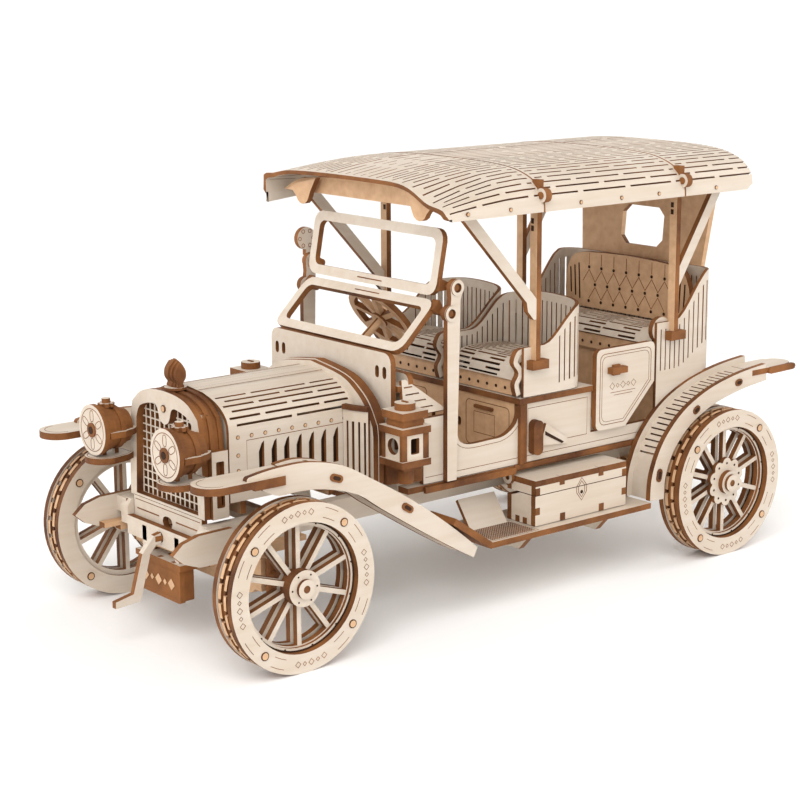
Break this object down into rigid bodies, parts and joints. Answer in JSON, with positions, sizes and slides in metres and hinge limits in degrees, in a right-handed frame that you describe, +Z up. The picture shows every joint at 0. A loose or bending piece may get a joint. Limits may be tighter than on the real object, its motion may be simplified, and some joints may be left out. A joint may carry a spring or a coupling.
{
  "type": "wooden 3d jigsaw model",
  "caption": "Laser-cut plywood kit model of an early open touring car with a fixed canopy, spoked wheels, linked steering, opening doors, folding windshield, tool box and crank.",
  "frame": {"origin": "centre of the overall box on the ground plane the wheels stand on", "axes": "+Z up, the car looks along -Y, its left side is +X; wheel axles run along X"},
  "size_m": [0.139, 0.323, 0.1775],
  "materials": {
    "pale_ply": "bare laser-cut birch plywood, satin",
    "shaded_ply": "plywood seen at its scorched, laser-cut edge"
  },
  "bodies": {
    "car_body": {"chassis_frame": "pale_ply", "front_axle_beam": "pale_ply", "rear_axle": "pale_ply", "leaf_spring_front_left": "shaded_ply", "leaf_spring_front_right": "shaded_ply", "leaf_spring_rear_left": "shaded_ply", "leaf_spring_rear_right": "shaded_ply", "radiator_shell": "pale_ply", "radiator_grille": "shaded_ply", "radiator_cap": "pale_ply", "number_plate": "pale_ply", "hood": "pale_ply", "hood_ribs": "shaded_ply", "firewall": "pale_ply", "cowl": "pale_ply", "headlamp_left": "pale_ply", "headlamp_right": "pale_ply", "side_lantern_left": "pale_ply", "side_lantern_right": "pale_ply", "floor_pan": "pale_ply", "body_side_left": "pale_ply", "body_side_right": "pale_ply", "front_seat_base": "pale_ply", "front_seat_tub_left": "pale_ply", "front_seat_tub_right": "pale_ply", "front_seat_cushion_left": "pale_ply", "front_seat_cushion_right": "pale_ply", "rear_seat_base": "pale_ply", "rear_seat_cushion": "pale_ply", "rear_seat_back": "pale_ply", "rear_tub": "pale_ply", "front_fender_left": "pale_ply", "front_fender_right": "pale_ply", "rear_fender_left": "pale_ply", "rear_fender_right": "pale_ply", "running_board_left": "pale_ply", "running_board_right": "pale_ply", "tool_box": "pale_ply", "windshield_post_left": "pale_ply", "windshield_post_right": "pale_ply", "roof_canopy": "pale_ply", "mid_roof_post_left": "pale_ply", "mid_roof_post_right": "pale_ply", "rear_roof_post_left": "pale_ply", "rear_roof_post_right": "pale_ply", "rear_curtain": "pale_ply"},
    "steering_wheel": {"steering_wheel": "pale_ply"},
    "steering_knuckle_left": {"steering_knuckle_left": "pale_ply"},
    "steering_knuckle_right": {"steering_knuckle_right": "pale_ply"},
    "tie_rod": {"tie_rod": "pale_ply"},
    "wheel_front_left": {"wheel_front_left": "pale_ply"},
    "wheel_front_right": {"wheel_front_right": "pale_ply"},
    "wheel_rear_left": {"wheel_rear_left": "pale_ply"},
    "wheel_rear_right": {"wheel_rear_right": "pale_ply"},
    "windshield_upper_frame": {"windshield_upper_frame": "pale_ply"},
    "windshield_lower_frame": {"windshield_lower_frame": "pale_ply"},
    "rear_door_left": {"rear_door_left": "pale_ply"},
    "rear_door_right": {"rear_door_right": "pale_ply"},
    "tool_box_lid": {"tool_box_lid": "pale_ply"},
    "crank_handle": {"crank_handle": "pale_ply"}
  },
  "joints": [
    {"name": "steering_wheel_turn", "type": "hinge", "parent": "car_body", "child": "steering_wheel", "pos_m": [-0.02, -0.014, 0.109], "axis": [0, 0.7833, 0.6216], "range_deg": [-90, 90]},
    {"name": "knuckle_left_steer", "type": "hinge", "parent": "car_body", "child": "steering_knuckle_left", "pos_m": [0.047, -0.121, 0.0325], "axis": [0, 0, 1], "range_deg": [-18, 18]},
    {"name": "knuckle_right_steer", "type": "hinge", "parent": "car_body", "child": "steering_knuckle_right", "pos_m": [-0.047, -0.121, 0.0325], "axis": [0, 0, 1], "range_deg": [-18, 18]},
    {"name": "tie_rod_slide", "type": "slide", "parent": "car_body", "child": "tie_rod", "axis": [1, 0, 0], "range_m": [-0.005, 0.005]},
    {"name": "front_wheel_left_spin", "type": "hinge", "parent": "steering_knuckle_left", "child": "wheel_front_left", "pos_m": [0.062, -0.121, 0.0325], "axis": [1, 0, 0], "continuous": true},
    {"name": "front_wheel_right_spin", "type": "hinge", "parent": "steering_knuckle_right", "child": "wheel_front_right", "pos_m": [-0.062, -0.121, 0.0325], "axis": [1, 0, 0], "continuous": true},
    {"name": "rear_wheel_left_spin", "type": "hinge", "parent": "car_body", "child": "wheel_rear_left", "pos_m": [0.062, 0.111, 0.0325], "axis": [1, 0, 0], "continuous": true},
    {"name": "rear_wheel_right_spin", "type": "hinge", "parent": "car_body", "child": "wheel_rear_right", "pos_m": [-0.062, 0.111, 0.0325], "axis": [1, 0, 0], "continuous": true},
    {"name": "windshield_upper_tilt", "type": "hinge", "parent": "car_body", "child": "windshield_upper_frame", "pos_m": [0, -0.031, 0.132], "axis": [1, 0, 0], "range_deg": [-10, 70]},
    {"name": "windshield_lower_tilt", "type": "hinge", "parent": "car_body", "child": "windshield_lower_frame", "pos_m": [0, -0.034, 0.122], "axis": [1, 0, 0], "range_deg": [-40, 38]},
    {"name": "rear_door_left_swing", "type": "hinge", "parent": "car_body", "child": "rear_door_left", "pos_m": [0.0466, 0.082, 0.08], "axis": [0, 0, 1], "range_deg": [0, 70]},
    {"name": "rear_door_right_swing", "type": "hinge", "parent": "car_body", "child": "rear_door_right", "pos_m": [-0.0466, 0.082, 0.08], "axis": [0, 0, -1], "range_deg": [0, 70]},
    {"name": "tool_box_lid_lift", "type": "hinge", "parent": "car_body", "child": "tool_box_lid", "pos_m": [0.044, 0.03, 0.047], "axis": [0, -1, 0], "range_deg": [0, 34]},
    {"name": "crank_turn", "type": "hinge", "parent": "car_body", "child": "crank_handle", "pos_m": [0, -0.141, 0.0402], "axis": [0, 1, 0], "continuous": true}
  ],
  "couplings": [
    {"joint": "steering_wheel_turn", "follows": "knuckle_left_steer", "ratio": 5},
    {"joint": "knuckle_right_steer", "follows": "knuckle_left_steer", "ratio": 1},
    {"joint": "tie_rod_slide", "follows": "knuckle_left_steer", "m_per_rad": -0.014}
  ]
}
